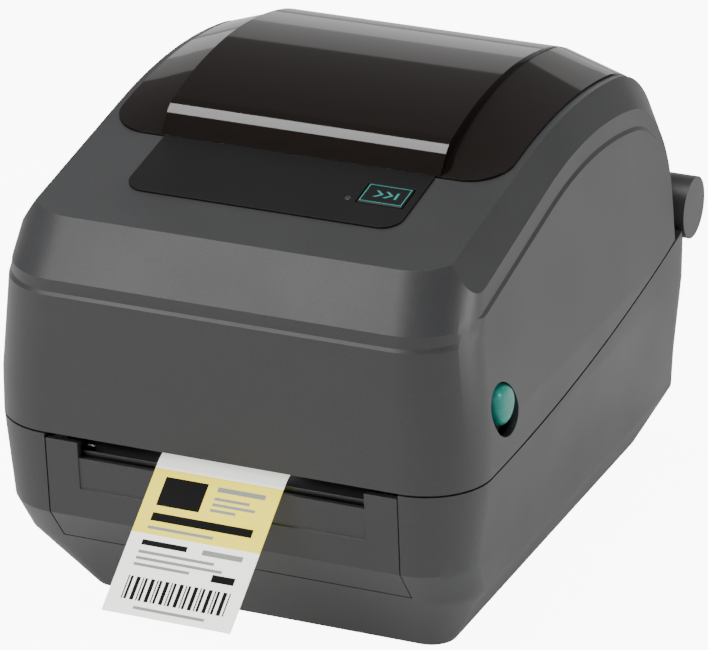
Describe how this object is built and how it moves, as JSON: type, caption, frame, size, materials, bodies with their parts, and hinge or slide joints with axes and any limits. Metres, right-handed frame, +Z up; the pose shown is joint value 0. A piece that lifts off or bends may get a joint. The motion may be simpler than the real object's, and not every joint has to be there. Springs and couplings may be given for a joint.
{
  "type": "label printer",
  "caption": "Desktop label printer with a hinged cover, smoked window, ribbon carriage, sprung print head, geared platen and a label roll on sliding guides",
  "frame": {"origin": "on the table, at the middle of the outline seen from above, the hanging label included", "axes": "+Z up, the front with the label slot faces -Y, +X to the right of someone facing the front"},
  "size_m": [0.194, 0.3012, 0.1945],
  "materials": {
    "case_plastic": "fine moulded texture, dark grey",
    "panel_plastic": "fine moulded texture, dark grey",
    "smoked_window": "smoked clear plastic, polished",
    "control_panel": "black, satin",
    "status_lamp": "clear light pipe",
    "teal_plastic": "teal, glossy",
    "frame_plastic": "moulded, dark grey",
    "gear_plastic": "off-white",
    "bearing_bronze": "sintered bronze",
    "shaft_steel": "turned steel",
    "screw_steel": "zinc plated",
    "spring_steel": "drawn wire",
    "platen_rubber": "ground black rubber",
    "foot_rubber": "black rubber",
    "motor_housing": "black lacquer",
    "board_green": "green solder mask",
    "head_ceramic": "glazed ceramic",
    "sink_aluminium": "extruded",
    "black_plastic": "moulded, black",
    "socket_metal": "tinned steel",
    "label_paper": "coated label paper",
    "core_card": "wound card",
    "ribbon_black": "ribbon film",
    "spindle_plastic": "grey"
  },
  "bodies": {
    "base": {"base_case": "case_plastic", "front_bezel": "panel_plastic", "rubber_feet": "foot_rubber", "media_deck": "frame_plastic", "platen_bushings": "bearing_bronze", "idler_stud": "shaft_steel", "stepper_motor": "motor_housing", "tear_bar": "shaft_steel", "media_sensor": "black_plastic", "case_screws": "screw_steel", "deck_screws": "screw_steel", "guide_rails": "shaft_steel", "label_strip": "label_paper", "main_board": "board_green", "power_inlet": "black_plastic", "usb_port": "black_plastic", "ethernet_port": "socket_metal", "power_switch": "black_plastic", "hinge_pins": "shaft_steel", "latch_strikes": "shaft_steel"},
    "platen": {"platen_shaft": "shaft_steel", "platen_roller": "platen_rubber", "platen_gear": "gear_plastic"},
    "idler": {"idler_gear": "gear_plastic"},
    "pinion": {"motor_pinion": "gear_plastic", "motor_shaft": "shaft_steel"},
    "label_supply": {"label_roll": "label_paper", "roll_core": "core_card"},
    "guide_left": {"roll_guide_left": "frame_plastic"},
    "guide_right": {"roll_guide_right": "frame_plastic"},
    "cover": {"top_cover": "case_plastic", "cover_window": "smoked_window", "control_overlay": "control_panel", "status_led": "status_lamp", "button_board": "board_green", "carriage_frame": "frame_plastic", "ribbon_guide_bar": "shaft_steel", "cover_screws": "screw_steel", "ribbon_film": "ribbon_black", "head_springs": "spring_steel"},
    "feed": {"feed_button": "control_panel"},
    "latch": {"latch_shaft": "shaft_steel", "latch_lever_left": "teal_plastic", "latch_lever_right": "teal_plastic"},
    "head": {"head_bracket": "shaft_steel", "heat_sink": "sink_aluminium", "print_head": "head_ceramic"},
    "ribbon_supply": {"ribbon_supply_spindle": "spindle_plastic", "ribbon_supply_roll": "ribbon_black"},
    "ribbon_takeup": {"ribbon_takeup_spindle": "spindle_plastic", "ribbon_takeup_roll": "ribbon_black"},
    "rocker": {"power_rocker": "black_plastic"}
  },
  "joints": [
    {"name": "cover_hinge", "type": "hinge", "parent": "base", "child": "cover", "pos_m": [0, 0.13806, 0.109], "axis": [-1, 0, 0], "range_deg": [0, 90]},
    {"name": "roll_spin", "type": "hinge", "parent": "base", "child": "label_supply", "pos_m": [0, 0.06656, 0.092], "axis": [1, 0, 0], "continuous": true},
    {"name": "platen_spin", "type": "hinge", "parent": "base", "child": "platen", "pos_m": [0, -0.08544, 0.0715], "axis": [1, 0, 0], "continuous": true},
    {"name": "idler_spin", "type": "hinge", "parent": "base", "child": "idler", "pos_m": [-0.068, -0.0644, 0.05046], "axis": [1, 0, 0], "continuous": true},
    {"name": "pinion_spin", "type": "hinge", "parent": "base", "child": "pinion", "pos_m": [-0.068, -0.04704, 0.0331], "axis": [1, 0, 0], "continuous": true},
    {"name": "guide_left_slide", "type": "slide", "parent": "base", "child": "guide_left", "axis": [-1, 0, 0], "range_m": [0, 0.02], "stiffness_N_per_m": 40, "springref_m": -0.01},
    {"name": "guide_right_slide", "type": "slide", "parent": "base", "child": "guide_right", "axis": [1, 0, 0], "range_m": [0, 0.02]},
    {"name": "feed_press", "type": "slide", "parent": "cover", "child": "feed", "axis": [0, 0.1822, -0.9833], "range_m": [0, 0.001], "stiffness_N_per_m": 600, "springref_m": -0.001},
    {"name": "latch_turn", "type": "hinge", "parent": "cover", "child": "latch", "pos_m": [0, -0.05744, 0.116], "axis": [-1, 0, 0], "range_deg": [0, 12], "stiffness_Nm_per_rad": 0.15, "springref_deg": -11.46},
    {"name": "head_float", "type": "hinge", "parent": "cover", "child": "head", "pos_m": [0, -0.05544, 0.09965], "axis": [-1, 0, 0], "range_deg": [0, 3], "stiffness_Nm_per_rad": 8, "springref_deg": -4.58, "deforming": ["head_springs"]},
    {"name": "supply_spin", "type": "hinge", "parent": "cover", "child": "ribbon_supply", "pos_m": [0, 0.00856, 0.143], "axis": [1, 0, 0], "continuous": true},
    {"name": "takeup_spin", "type": "hinge", "parent": "cover", "child": "ribbon_takeup", "pos_m": [0, -0.04144, 0.135], "axis": [1, 0, 0], "continuous": true},
    {"name": "power_rock", "type": "hinge", "parent": "base", "child": "rocker", "pos_m": [0.058, 0.14156, 0.026], "axis": [1, 0, 0], "range_deg": [0, 10]}
  ],
  "couplings": [
    {"joint": "idler_spin", "follows": "platen_spin", "ratio": -0.6087},
    {"joint": "pinion_spin", "follows": "platen_spin", "ratio": 1.8667},
    {"joint": "roll_spin", "follows": "platen_spin", "ratio": 0.16},
    {"joint": "supply_spin", "follows": "platen_spin", "ratio": -0.44444},
    {"joint": "takeup_spin", "follows": "platen_spin", "ratio": -0.57143},
    {"joint": "guide_right_slide", "follows": "guide_left_slide", "ratio": 1}
  ]
}
